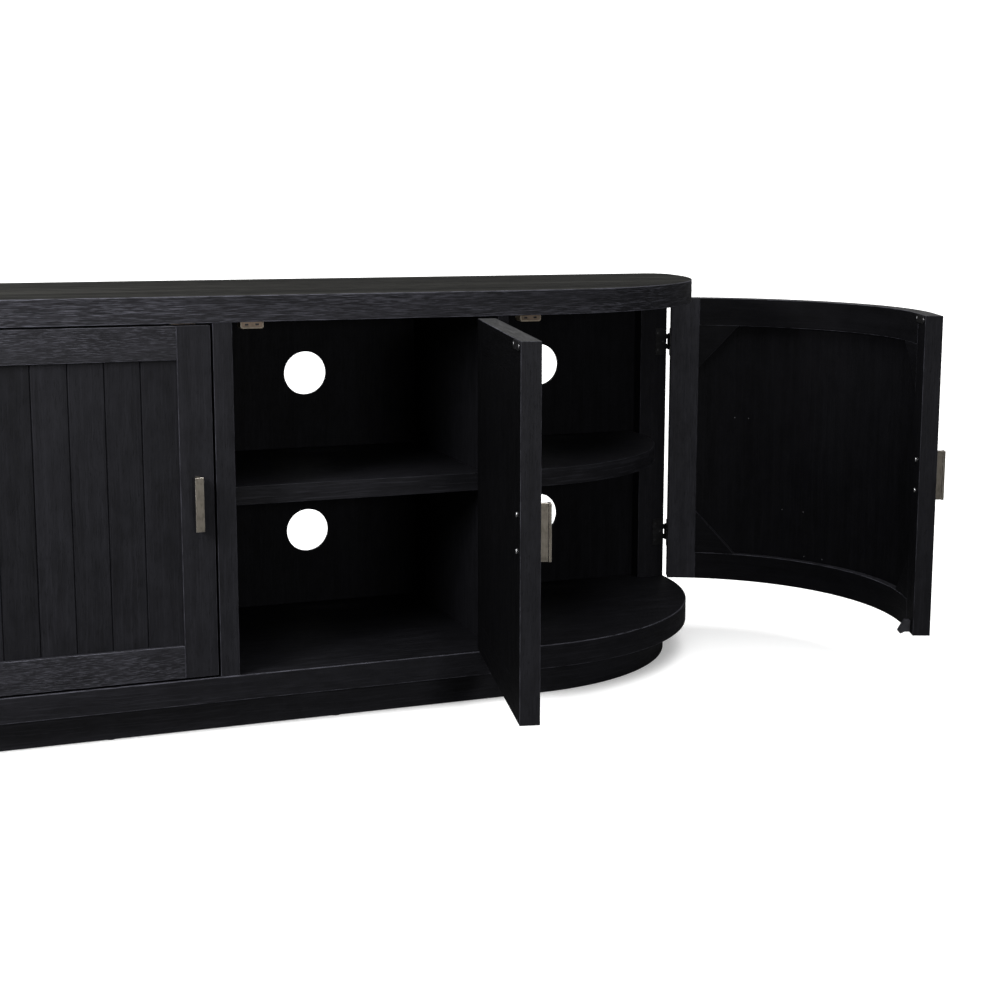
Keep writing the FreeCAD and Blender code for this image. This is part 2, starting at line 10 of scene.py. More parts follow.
import bmesh
import bpy
from mathutils import Matrix, Vector
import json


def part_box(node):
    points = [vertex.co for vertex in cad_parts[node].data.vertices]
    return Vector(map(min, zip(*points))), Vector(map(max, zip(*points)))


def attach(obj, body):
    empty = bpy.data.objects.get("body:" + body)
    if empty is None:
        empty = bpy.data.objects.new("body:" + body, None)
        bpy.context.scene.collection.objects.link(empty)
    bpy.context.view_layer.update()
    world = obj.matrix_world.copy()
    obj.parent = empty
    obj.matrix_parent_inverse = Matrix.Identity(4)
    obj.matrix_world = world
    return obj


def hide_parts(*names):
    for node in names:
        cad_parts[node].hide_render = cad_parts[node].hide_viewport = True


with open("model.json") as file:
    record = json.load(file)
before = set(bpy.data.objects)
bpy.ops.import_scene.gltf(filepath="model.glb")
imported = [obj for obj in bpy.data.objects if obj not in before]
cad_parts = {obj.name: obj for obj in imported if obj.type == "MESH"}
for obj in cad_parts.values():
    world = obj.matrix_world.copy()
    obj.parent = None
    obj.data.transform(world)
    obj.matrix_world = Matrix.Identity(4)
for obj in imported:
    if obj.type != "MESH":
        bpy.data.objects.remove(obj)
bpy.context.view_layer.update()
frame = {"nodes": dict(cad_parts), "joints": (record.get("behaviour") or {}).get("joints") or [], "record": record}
MM = 0.001

# ---------------------------------------------------------------- sizes read from the frame
TOP_LO, TOP_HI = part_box("top_slab")
BOTTOM_LO, BOTTOM_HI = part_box("bottom_slab")
SKIRT_LO, SKIRT_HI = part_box("plinth_skirt")
PLINTH_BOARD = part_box("plinth_back")[0].x - SKIRT_LO.x
FLAT_STILE_LO, FLAT_STILE_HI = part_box("door_left_free_stile")
FLAT_FREE_X = -FLAT_STILE_HI.x
FLAT_HINGE_X = -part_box("door_left_hinge_stile")[0].x
END_FREE_X = -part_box("end_door_left_free_stile")[1].x
END_HINGE_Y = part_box("end_door_left_hinge_stile")[1].y
END_POST_LO, END_POST_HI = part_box("rear_post_right")
END_SHELF_LO, END_SHELF_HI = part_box("shelf_end_right")
JOINTS = {joint["name"]: joint for joint in frame["joints"]}

HALF_LENGTH = TOP_HI.x
FRONT_RADIUS = 455 * MM             # big front corners of the plan
BACK_RADIUS = 45 * MM               # small back corners
ARC_X = HALF_LENGTH - FRONT_RADIUS
ARC_Y = TOP_LO.y + FRONT_RADIUS
ARC_STEP = 1.5                      # degrees between two points of an arc

FACE_Y = FLAT_STILE_LO.y
DOOR_T = FLAT_STILE_HI.y - FLAT_STILE_LO.y
DOOR_Z0, DOOR_Z1 = FLAT_STILE_LO.z, FLAT_STILE_HI.z
FRAME_W = FLAT_STILE_HI.x - FLAT_STILE_LO.x
FACE_RADIUS = ARC_Y - FACE_Y
END_STILE_ANGLE = 8.0               # the curved hinge stile, degrees of the arc

# ---------------------------------------------------------------- sizes of details
PANEL_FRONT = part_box("door_left_plank_panel")[0].y - FACE_Y
PANEL_REAR = PANEL_FRONT + 10 * MM
TONGUE = 3 * MM                     # how far a panel reaches into its frame
EDGE_ZONE = 2 * MM                  # a door's own edges keep the lighter edge wood, partly wear and partly painted highlight
FIELD_GAP = 0.4 * MM                # round the thick middle of a flat door's panel
FIELD_SUNK = 1 * MM                 # how far that middle starts inside the panel
FLAT_PLANKS = 6
END_PLANKS = 11
GROOVE_W = 1.9 * MM                 # half the width of a plank groove
GROOVE_D = 2.3 * MM
GROOVE_LIP = 0.4 * MM
PLANK_BENDS = (0.2, 0.4, 0.6, 0.8)  # where a curved door's planks bend, as parts of their width
GUSSET = 90 * MM
GUSSET_TIP = 1.5 * MM               # the sharp ends are cut off
GUSSET_STEPS = 12

PULL_PLATE = 4.5 * MM
PULL_WEB = 3.5 * MM                 # half its width
STRIKE_PLATE = 1.2 * MM
STRIKE_SCREW_OUT = 25 * MM          # from the plate's middle
HINGE_INSET = 95 * MM               # from a door's top or bottom to a hinge's middle
LEAF_HOLES = ((24, 18), (12, 0), (24, -18))     # mm from the pin, mm up
LEAF_GAP = 0.5 * MM                 # half the room between two closed leaves
# Pins of the curved panel: mm along its inner face from the hinge edge, mm above the floor
PIN_PLACES = ((140, 460), (170, 460), (250, 270), (300, 270), (305, 175), (350, 175))
CATCH_W, CATCH_DEPTH, CATCH_H = 40 * MM, 24 * MM, 14 * MM
CATCH_ROUND = 4 * MM
CATCH_RIM = 2.2 * MM
CATCH_LIP = 0.3 * MM                # the recess's walls lean inwards
CATCH_RECESS = 1.2 * MM
CATCH_SLOT = (6 * MM, 0.8 * MM, 3.2 * MM)
CATCH_SLOT_OUT = 9 * MM             # from the catch's middle
CATCH_SLOT_IN = 0.8 * MM
CATCH_SLOT_UP = 5.2 * MM
HOLE_POINTS = 96                    # round a cable hole
STRIKE_HEAD = (3.4 * MM, 1.1 * MM)  # screw heads: radius, height
LEAF_HEAD = (2.8 * MM, 0.35 * MM)
PIN_HEAD = (1.3 * MM, 0.5 * MM)

SLAB_EASE = 1.6 * MM
DOOR_EASE = 0.9 * MM
BOARD_EASE = 0.8 * MM
GUSSET_EASE = 0.6 * MM
FIELD_EASE = 0.5 * MM
METAL_EASE = 0.5 * MM
PLATE_EASE = 0.3 * MM
SHARP_ABOVE = 35                    # degrees between two faces whose edge is eased
SMOOTH_BELOW = 50                   # and between faces that shade as one surface


# ---------------------------------------------------------------- node graphs
class Graph:
    """A material's node tree, with a short way to add a node and link or set its sockets."""

    def __init__(self, name):
        self.material = bpy.data.materials.new(name)
        self.material.use_nodes = True
        self.nodes = self.material.node_tree.nodes
        self.links = self.material.node_tree.links
        self.nodes.clear()

    def add(self, kind, sockets=None, **settings):
        node = self.nodes.new(kind)
        for key, value in settings.items():
            setattr(node, key, value)
        for key, value in (sockets or {}).items():
            if isinstance(value, bpy.types.NodeSocket):
                self.links.new(value, node.inputs[key])
            else:
                node.inputs[key].default_value = value
        return node

    def math(self, operation, first, second=0.0, clamp=False):
        return self.add("ShaderNodeMath", {0: first, 1: second}, operation=operation,
                        use_clamp=clamp).outputs[0]

    def stretched(self, vector, along, across):
        scale = (along, across, across)
        node = self.add("ShaderNodeVectorMath", {0: vector, 1: scale}, operation="MULTIPLY")
        return node.outputs[0]

    def noise(self, vector, detail=2.0, roughness=0.5):
        sockets = {"Vector": vector, "Scale": 1.0, "Detail": detail, "Roughness": roughness}
        return self.add("ShaderNodeTexNoise", sockets).outputs["Fac"]

    def between(self, value, low, high):
        """0 below low, 1 above high, smooth between."""
        sockets = {"Value": value, "From Min": low, "From Max": high}
        node = self.add("ShaderNodeMapRange", sockets, interpolation_type="SMOOTHSTEP")
        return node.outputs["Result"]

    def rough(self, value, low, high, start=0.0, stop=1.0):
        """Roughness that runs from low to high while value runs from start to stop."""
        sockets = {"Value": value, "From Min": start, "From Max": stop, "To Min": low,
                   "To Max": high}
        return self.add("ShaderNodeMapRange", sockets).outputs["Result"]

    def mixed(self, factor, first, second, blend="MIX"):
        return self.add("ShaderNodeMix", {0: factor, 6: first, 7: second}, data_type="RGBA",
                        blend_type=blend).outputs[2]

    def finish(self, shader_sockets, bump_height=None, bump_distance=0.0):
        shader = self.add("ShaderNodeBsdfPrincipled", shader_sockets)
        if bump_height is not None:
            bump = self.add("ShaderNodeBump", {"Height": bump_height, "Distance": bump_distance,
                                               "Strength": 1.0})
            self.links.new(bump.outputs["Normal"], shader.inputs["Normal"])
        output = self.add("ShaderNodeOutputMaterial")
        self.links.new(shader.outputs[0], output.inputs["Surface"])
        return self.material


def rgb(red, green, blue, scale=1.0):
    return (red * scale, green * scale, blue * scale, 1.0)


# Features per metre, along and across the grain: of the wood, of metal and of plastic
SWAY = (6.0, 12.0)
FIBRE = (22.0, 700.0)
PATCH = (3.5, 22.0)
MOTTLE = (22.0, 40.0)
PORE = (60.0, 1300.0)
RUBBED_AND_HIGHLIT = (30.0, 160.0)
BRUSH_LINES = (25.0, 1500.0)
TARNISH = (70.0, 110.0)
PEBBLES = (900.0, 900.0)
CLOUDS = (60.0, 60.0)
SWAY_REACH = 0.012                  # metres that the grain wanders across
PORE_COLOUR = rgb(0.002, 0.002, 0.002)
TONE_REACH = 0.16                   # how much planks differ in brightness
OAK_BUMP, METAL_BUMP, PLASTIC_BUMP = 0.25 * MM, 0.04 * MM, 0.05 * MM


def oak(name, dark, light, streak, streaks=0.5, fleck=(10.0, 360.0), rings=(2.2, 75.0), wear_and_highlight=0.0,
        gloss=(0.45, 0.62), specular=0.1):
    """Black-stained brushed oak.

    The mesh's grain attribute holds (along, across, depth) in metres.  fleck and rings say how
    many light streaks and growth rings fit in a metre along and across the wood.
    """
    graph = Graph(name)
    grain = graph.add("ShaderNodeAttribute", attribute_name="grain").outputs["Vector"]
    tone = graph.add("ShaderNodeAttribute", attribute_name="tone").outputs["Fac"]

    sway = graph.math("SUBTRACT", graph.noise(graph.stretched(grain, *SWAY)), 0.5)
    sway = graph.math("MULTIPLY", sway, SWAY_REACH)
    offset = graph.add("ShaderNodeCombineXYZ", {1: sway}).outputs[0]
    wavy = graph.add("ShaderNodeVectorMath", {0: grain, 1: offset}, operation="ADD").outputs[0]

    ring = graph.noise(graph.stretched(wavy, *rings))
    fibre = graph.noise(graph.stretched(wavy, *FIBRE), 3.0, 0.6)
    streaky = graph.noise(graph.stretched(wavy, *fleck), 1.5, 0.55)
    patch = graph.noise(graph.stretched(grain, *PATCH))
    mottle = graph.noise(graph.stretched(grain, *MOTTLE), 3.0, 0.55)
    pore = graph.between(graph.noise(graph.stretched(wavy, *PORE), 1.0), 0.60, 0.70)

    broad = graph.math("ADD", graph.math("MULTIPLY", graph.between(ring, 0.32, 0.68), 0.45),
                       graph.math("MULTIPLY", graph.between(mottle, 0.30, 0.70), 0.55), clamp=True)
    base = graph.mixed(broad, dark, light)
    here = graph.between(patch, 0.30, 0.62)
    here = graph.math("ADD", graph.math("MULTIPLY", here, 0.6), 0.4)
    mask = graph.math("MULTIPLY", graph.between(streaky, 0.55, 0.62), here)
    mask = graph.math("MULTIPLY", mask, streaks, clamp=True)
    base = graph.mixed(mask, base, streak)
    fine = graph.math("MULTIPLY", graph.between(fibre, 0.50, 0.66), streaks * 0.3)
    base = graph.mixed(fine, base, streak)
    base = graph.mixed(graph.math("MULTIPLY", pore, 0.45), base, PORE_COLOUR)
    # Edges only: patches mixed towards a much lighter colour, partly wear and partly painted highlight.
    if wear_and_highlight:
        rubbed_and_highlit = graph.noise(graph.stretched(grain, *RUBBED_AND_HIGHLIT), 3.0, 0.6)
        rubbed_and_highlit = graph.between(rubbed_and_highlit, 0.30, 0.72)
        base = graph.mixed(graph.math("MULTIPLY", rubbed_and_highlit, wear_and_highlight), base, streak)
    shade = graph.math("MULTIPLY_ADD", tone, TONE_REACH)
    shade.node.inputs[2].default_value = 1.0
    grey = graph.add("ShaderNodeCombineColor", {0: shade, 1: shade, 2: shade}).outputs[0]
    base = graph.mixed(1.0, base, grey, "MULTIPLY")

    rough = graph.rough(fibre, gloss[1], gloss[0], 0.3, 0.75)
    relief = graph.math("ADD", graph.math("MULTIPLY", fibre, 0.6),
                        graph.math("MULTIPLY", streaky, 0.5))
    relief = graph.math("SUBTRACT", relief, graph.math("MULTIPLY", pore, 0.5))
    return graph.finish({"Base Color": base, "Roughness": rough, "Specular IOR Level": specular},
                        relief, OAK_BUMP)


def metal(name, colour, worn, roughness, metallic=1.0, brushed=0.3, along_grain=False):
    """Brushed or painted metal, streaked along its length, with small tarnished patches."""
    graph = Graph(name)
    if along_grain:
        place = graph.add("ShaderNodeAttribute", attribute_name="grain").outputs["Vector"]
    else:
        place = graph.add("ShaderNodeTexCoord").outputs["Object"]
    lines = graph.noise(graph.stretched(place, *BRUSH_LINES), 3.0, 0.6)
    patches = graph.noise(graph.stretched(place, *TARNISH), 3.0, 0.6)
    base = graph.mixed(graph.between(patches, 0.42, 0.70), colour, worn)
    base = graph.mixed(graph.math("MULTIPLY", graph.between(lines, 0.3, 0.8), brushed), base,
                       rgb(*[min(1.0, value * 1.5) for value in colour[:3]]))
    rough = graph.rough(lines, roughness - 0.1, roughness + 0.14)
    return graph.finish({"Base Color": base, "Roughness": rough, "Metallic": metallic},
                        lines, METAL_BUMP)


def plastic(name, colour, speck, roughness):
    """Moulded plastic with a fine pebbled skin."""
    graph = Graph(name)
    place = graph.add("ShaderNodeTexCoord").outputs["Object"]
    fine = graph.noise(graph.stretched(place, *PEBBLES))
    broad = graph.noise(graph.stretched(place, *CLOUDS))
    base = graph.mixed(graph.between(broad, 0.35, 0.7), colour, speck)
    rough = graph.rough(fine, roughness - 0.08, roughness + 0.1)
    return graph.finish({"Base Color": base, "Roughness": rough, "Specular IOR Level": 0.4},
                        fine, PLASTIC_BUMP)


# ---------------------------------------------------------------- the materials
CHARCOAL = (0.94, 0.94, 1.14)
OLIVE = (1.03, 1.015, 0.91)
WHITE = (1.0, 1.0, 1.0)
TOP_FACE_TINT = (1.0, 1.0, 1.02)
# How strongly eased edges are lightened: partly wear, partly painted highlight.
EDGE_WEAR_AND_HIGHLIGHT = 0.8


def shades(tint, *values):
    return [rgb(*tint, scale=value) for value in values]


def oak_pair(name, tint, dark, light, streak, rub=3.0, **options):
    """A board's faces and its eased edges, which are made lighter than the wood by a factor: partly wear, partly a
    painted highlight along the edges.
    """
    face = oak(name, *shades(tint, dark, light, streak), **options)
    edge = oak(name + "_edge", *shades(tint, dark, light, rub * light), wear_and_highlight=EDGE_WEAR_AND_HIGHLIGHT, **options)
    return [face, edge]


OAK_SLAB = oak_pair("oak_slab_lipping", CHARCOAL, 0.0062, 0.0125, 0.062, rub=8.0, streaks=0.9,
                    fleck=(34.0, 1250.0))
OAK_TOP = oak("oak_top_face", *shades(OLIVE, 0.0029, 0.0150, 0.027), streaks=0.8,
              fleck=(0.9, 36.0), rings=(0.8, 22.0), gloss=(0.55, 0.68), specular=0.055)
OAK_RAIL = oak_pair("oak_rail", CHARCOAL, 0.0060, 0.0110, 0.044, rub=8.0, streaks=0.85,
                    fleck=(62.0, 1250.0))
OAK_STILE = oak_pair("oak_stile", CHARCOAL, 0.0066, 0.0110, 0.018, rub=5.0, streaks=0.3,
                     specular=0.07)
OAK_PLANK = oak_pair("oak_plank", CHARCOAL, 0.0046, 0.0085, 0.014, streaks=0.3, specular=0.06)
OAK_PLINTH = oak_pair("oak_plinth", CHARCOAL, 0.0080, 0.0140, 0.024, streaks=0.4)
OAK_BASE = oak_pair("oak_bottom_lipping", CHARCOAL, 0.0050, 0.0088, 0.020, rub=9.0, streaks=0.35,
                    fleck=(12.0, 580.0), specular=0.06)
# Boards of the cabinet's inside: the wood darkened as painted shade of the interior.
OAK_SHADED_INSIDE = oak_pair("oak_inside", CHARCOAL, 0.0042, 0.0072, 0.0115, streaks=0.3, specular=0.04)
# The flat doors' inner faces: the wood darkened as painted shade.
OAK_DOOR_INSIDE_SHADED = oak("oak_flat_door_inside", *shades(CHARCOAL, 0.0012, 0.0024, 0.0045),
                      streaks=0.3, specular=0.04)
OAK_CURVED_INSIDE = oak("oak_curved_door_inside", *shades(CHARCOAL, 0.0036, 0.0060, 0.009),
                        streaks=0.3, specular=0.05)
# The curved hinge stile's inner face: the wood lightened as painted light.
OAK_PAINTED_LIT_INSIDE = oak("oak_curved_stile_inside", *shades(CHARCOAL, 0.016, 0.027, 0.038), streaks=0.4)
OAK_SHELF = oak_pair("oak_shelf", CHARCOAL, 0.0054, 0.0100, 0.021, streaks=0.6, specular=0.08)
# The bottom slab's top and underside, the floor of the bays: darker than the shelves as painted shade.
OAK_SHADED_DECK = oak("oak_bottom_deck", *shades(CHARCOAL, 0.0036, 0.0068, 0.015), streaks=0.5,
               specular=0.06)
# Lighter grey wood on the doors' top faces.
OAK_DOOR_TOPS = oak("oak_end_grain", *shades(TOP_FACE_TINT, 0.026, 0.046, 0.09), streaks=0.5,
                    gloss=(0.5, 0.6))
PEWTER = metal("pewter_pull", rgb(0.138, 0.125, 0.105), rgb(0.078, 0.070, 0.058), 0.45,
               brushed=0.4, along_grain=True)
# The pull's eased arrises: a much lighter pewter, a painted highlight along its edges.
PEWTER_EDGE_HIGHLIGHT = metal("pewter_pull_edge", rgb(0.50, 0.46, 0.41), rgb(0.30, 0.27, 0.24), 0.32,
                    brushed=0.4, along_grain=True)
DARK_STEEL = metal("strike_steel", rgb(0.045, 0.045, 0.048), rgb(0.025, 0.025, 0.027), 0.45)
BLACK_SCREW = metal("black_screw", rgb(0.03, 0.03, 0.032), rgb(0.06, 0.06, 0.062), 0.4,
                    metallic=0.8, brushed=0.2)
STEEL = metal("bright_steel", rgb(0.42, 0.42, 0.43), rgb(0.25, 0.25, 0.26), 0.3)
ZINC = metal("dull_zinc", rgb(0.14, 0.14, 0.15), rgb(0.07, 0.07, 0.075), 0.5)
BLACK_METAL = metal("black_hinge_metal", rgb(0.010, 0.010, 0.011), rgb(0.022, 0.022, 0.024), 0.45,
                    metallic=0.6, brushed=0.2)
CATCH = plastic("catch_plastic", rgb(0.33, 0.28, 0.21), rgb(0.25, 0.20, 0.15), 0.5)
CATCH_PLATE = metal("catch_pole_plate", rgb(0.16, 0.12, 0.09), rgb(0.09, 0.07, 0.05), 0.5,
                    metallic=0.7)
LUG = plastic("lug_rubber", rgb(0.012, 0.012, 0.015), rgb(0.024, 0.024, 0.030), 0.5)
NYLON = plastic("glide_nylon", rgb(0.01, 0.01, 0.01), rgb(0.02, 0.02, 0.02), 0.5)
BLACK_BOARD = plastic("brace_board", rgb(0.004, 0.004, 0.004), rgb(0.008, 0.008, 0.008), 0.6)


# ---------------------------------------------------------------- mesh building
def prism(outline, z0, z1):
    """Closed outline in plan, listed once round, between two heights."""
    bm = bmesh.new()
    low = [bm.verts.new((x, y, z0)) for x, y in outline]
    high = [bm.verts.new((x, y, z1)) for x, y in outline]
    bm.faces.new(list(reversed(low)))
    bm.faces.new(high)
    for i in range(len(outline)):
        j = (i + 1) % len(outline)
        bm.faces.new((low[i], low[j], high[j], high[i]))
    bmesh.ops.recalc_face_normals(bm, faces=bm.faces)
    return bm


def loft(sections):
    """Solid through sections with four corners each."""
    bm = bmesh.new()
    rows = [[bm.verts.new(corner) for corner in section] for section in sections]
    for first, second in zip(rows, rows[1:]):
        for i in range(4):
            j = (i + 1) % 4
            bm.faces.new((first[i], first[j], second[j], second[i]))
    bm.faces.new(rows[0])
    bm.faces.new(list(reversed(rows[-1])))
    bmesh.ops.recalc_face_normals(bm, faces=bm.faces)
    return bm


def strip(outer, inner, z0, z1):
    """Bent board between two open lines in plan that have the same number of points."""
    return loft([((ox, oy, z0), (ix, iy, z0), (ix, iy, z1), (ox, oy, z1))
                 for (ox, oy), (ix, iy) in zip(outer, inner)])


def brick(low, high):
    outline = [(low[0], low[1]), (high[0], low[1]), (high[0], high[1]), (low[0], high[1])]
    return prism(outline, low[2], high[2])


def on_inner_face(outline, y0, y1):
    """Plate whose outline is given in x and z, between two depths."""
    bm = prism(outline, -y1, -y0)
    bm.transform(Matrix.Rotation(math.pi / 2, 4, "X"))
    return bm


def joined(meshes):
    """One bmesh holding several."""
    whole = bmesh.new()
    for bm in meshes:
        mesh = bpy.data.meshes.new("joining")
        bm.to_mesh(mesh)
        bm.free()
        whole.from_mesh(mesh)
        bpy.data.meshes.remove(mesh)
    return whole


def ease(bm, width, segments=2):
    """Rounds the sharp edges; the new faces get the second material."""
    edges = [edge for edge in bm.edges if len(edge.link_faces) == 2
             and edge.calc_face_angle(0.0) > math.radians(SHARP_ABOVE)]
    bmesh.ops.bevel(bm, geom=edges, offset=width, offset_type="OFFSET", segments=segments,
                    profile=0.5, affect="EDGES", clamp_overlap=True, material=1)
    return bm


def screw_head(size, place, out, material=0):
    """Low dome, given by radius and height, that stands on a face whose normal is out."""
    radius, height = size
    bm = bmesh.new()
    bmesh.ops.create_uvsphere(bm, u_segments=20, v_segments=12, radius=radius)
    under = [vert for vert in bm.verts if vert.co.z < -1e-6]
    bmesh.ops.delete(bm, geom=under, context="VERTS")
    rim = [edge for edge in bm.edges if edge.is_boundary]
    bmesh.ops.contextual_create(bm, geom=rim)
    for face in bm.faces:
        face.material_index = material
    turn = out.to_track_quat("Z", "Y").to_matrix().to_4x4()
    bm.transform(Matrix.Translation(place) @ turn @ Matrix.Diagonal((1, 1, height / radius, 1)))
    return bm


def arc_points(x, y, radius, start, stop, step=ARC_STEP):
    count = max(1, math.ceil(abs(stop - start) / step))
    turns = [math.radians(start + (stop - start) * i / count) for i in range(count + 1)]
    return [(x + radius * math.cos(turn), y + radius * math.sin(turn)) for turn in turns]


def mirrored_line(points):
    return [(-x, y) for x, y in reversed(points)]


def paint_grain(bm, name, coords, tones=None):
    """Stores where each face corner lies along, across and into the wood.

    Every piece is shifted by chance, so that no two show the same grain.
    """
    chance = random.Random(name)
    shift = Vector((chance.uniform(0, 40), chance.uniform(0, 40), chance.uniform(0, 40)))
    grain = bm.loops.layers.float_vector.new("grain")
    tone = bm.loops.layers.float.new("tone")
    for face in bm.faces:
        centre = face.calc_center_median()
        value, jump = tones(centre) if tones else (0.0, 0.0)
        for loop in face.loops:
            at = Vector(coords(loop.vert.co, face.normal))
            loop[grain] = at + shift + Vector((jump, jump, 0))
            loop[tone] = value


def show(name, bm, body, nodes, materials, place=None):
    """Makes the piece that stands for some CAD nodes and rides on their body."""
    if place is not None:
        bm.transform(place)
        if place.determinant() < 0:
            bmesh.ops.reverse_faces(bm, faces=bm.faces)
    mesh = bpy.data.meshes.new(name)
    bm.to_mesh(mesh)
    bm.free()
    for material in materials:
        mesh.materials.append(material)
    mesh.shade_smooth()
    mesh.set_sharp_from_angle(angle=math.radians(SMOOTH_BELOW))
    piece = bpy.data.objects.new(name, mesh)
    bpy.context.scene.collection.objects.link(piece)
    weighted = piece.modifiers.new("even_normals", "WEIGHTED_NORMAL")
    weighted.keep_sharp = True
    weighted.weight = 100
    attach(piece, body)
    if nodes:
        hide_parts(*nodes)
    return piece


MIRROR = Matrix.Scale(-1, 4, (1, 0, 0))


# ---------------------------------------------------------------- carcass
def slab_coords(co, normal):
    """Grain runs along the boards on the flat faces and round the edge on the lipping."""
    if abs(normal.z) > 0.7:
        return (co.x, co.y, co.z)
    if abs(co.x) <= ARC_X or co.y > ARC_Y:
        return (co.x, co.z, co.y)
    turn = math.atan2(co.y - ARC_Y, abs(co.x) - ARC_X) + math.pi / 2
    return (math.copysign(ARC_X + turn * FRONT_RADIUS, co.x), co.z, 0.0)


def rounded_end(inset, back_y=None):
    """Right end of the plan: round the front corner, then the back one or straight to back_y."""
    radius = FRONT_RADIUS - inset
    points = arc_points(ARC_X, ARC_Y, radius, -90, 0)
    if back_y is not None:
        return points + [(ARC_X + radius, back_y)]
    corner_x = HALF_LENGTH - BACK_RADIUS
    return points + arc_points(corner_x, ARC_Y, BACK_RADIUS - inset, 0, 90, 5.0)[1:]


def slab(node, low, high, materials):
    outline = rounded_end(0.0) + mirrored_line(rounded_end(0.0))
    bm = ease(prism(outline, low.z, high.z), SLAB_EASE, 3)
    paint_grain(bm, node, slab_coords)
    for face in bm.faces:
        if abs(face.normal.z) > 0.99:
            face.material_index = 2
    show("oak_" + node, bm, "cabinet", [node], materials)


def plinth():
    inset = SKIRT_LO.y - TOP_LO.y
    outer = rounded_end(inset, SKIRT_HI.y)
    inner = rounded_end(inset + PLINTH_BOARD, SKIRT_HI.y)
    bm = strip(mirrored_line(outer) + outer, mirrored_line(inner) + inner, SKIRT_LO.z, SKIRT_HI.z)
    ease(bm, BOARD_EASE)
    paint_grain(bm, "plinth_skirt", slab_coords)
    show("oak_plinth_skirt", bm, "cabinet", ["plinth_skirt"], OAK_PLINTH)


def board(node, coords, materials):
    """Straight board that fills its CAD node's box."""
    low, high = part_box(node)
    bm = ease(brick(low, high), BOARD_EASE)
    paint_grain(bm, node, coords)
    show("oak_" + node, bm, "cabinet", [node], materials)


def upright_grain(co, normal):
    return (co.z, co.x, co.y)


def lengthwise_grain(co, normal):
    return (co.x, co.z, co.y)


def end_shelf(side, place):
    inset = END_SHELF_LO.y - TOP_LO.y
    outline = [(END_SHELF_LO.x, END_SHELF_LO.y)]
    outline += arc_points(ARC_X, ARC_Y, FRONT_RADIUS - inset, -90, 0)
    outline += [(END_SHELF_HI.x, END_SHELF_HI.y), (END_SHELF_LO.x, END_SHELF_HI.y)]
    bm = ease(prism(outline, END_SHELF_LO.z, END_SHELF_HI.z), BOARD_EASE)
    node = "shelf_end_" + side
    paint_grain(bm, node, slab_coords)
    show("oak_" + node, bm, "cabinet", [node], OAK_SHELF, place)


def rear_post(side, place):
    corner_x = HALF_LENGTH - BACK_RADIUS
    radius = END_POST_HI.y - ARC_Y
    start = math.degrees(math.asin((END_POST_LO.y - ARC_Y) / radius))
    outline = [(END_POST_LO.x, END_POST_LO.y)]
    outline += arc_points(corner_x, ARC_Y, radius, start, 90, 4.0)
    outline.append((END_POST_LO.x, END_POST_HI.y))
    bm = ease(prism(outline, END_POST_LO.z, END_POST_HI.z), BOARD_EASE)
    node = "rear_post_" + side
    paint_grain(bm, node, upright_grain)
    show("oak_" + node, bm, "cabinet", [node], OAK_STILE, place)


def back_panel(node):
    """Thin board with its round cable holes, made as a filled curve and turned upright."""
    low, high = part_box(node)
    holes = [mount for mount in frame["record"]["mounts"] if mount["kind"] == "bore"
             and low.x < mount["pos_m"][0] < high.x]
    curve = bpy.data.curves.new(node, "CURVE")
    curve.dimensions = "2D"
    curve.fill_mode = "BOTH"
    curve.extrude = (high.y - low.y) / 2 - BOARD_EASE
    curve.bevel_depth = BOARD_EASE
    curve.bevel_resolution = 1
    curve.offset = -BOARD_EASE
    rings = [[(low.x, low.z), (high.x, low.z), (high.x, high.z), (low.x, high.z)]]
    for mount in holes:
        x, _, z = mount["pos_m"]
        rings.append(arc_points(x, z, mount["dims"]["r_mm"] * MM, 360, 0, 360 / HOLE_POINTS)[:-1])
    for ring in rings:
        spline = curve.splines.new("POLY")
        spline.points.add(len(ring) - 1)
        spline.use_cyclic_u = True
        for point, (x, z) in zip(spline.points, ring):
            point.co = (x, z, 0.0, 1.0)
    source = bpy.data.objects.new(node + "_outline", curve)
    bpy.context.scene.collection.objects.link(source)
    bpy.context.view_layer.update()
    mesh = bpy.data.meshes.new_from_object(source)
    bpy.data.objects.remove(source)
    bm = bmesh.new()
    bm.from_mesh(mesh)
    bmesh.ops.remove_doubles(bm, verts=bm.verts, dist=1e-6)
    upright = Matrix.Rotation(math.pi / 2, 4, "X")
    bm.transform(Matrix.Translation((0, (low.y + high.y) / 2, 0)) @ upright)
    bmesh.ops.recalc_face_normals(bm, faces=bm.faces)
    paint_grain(bm, node, upright_grain)
    show("board_" + node, bm, "cabinet", [node], OAK_SHADED_INSIDE)


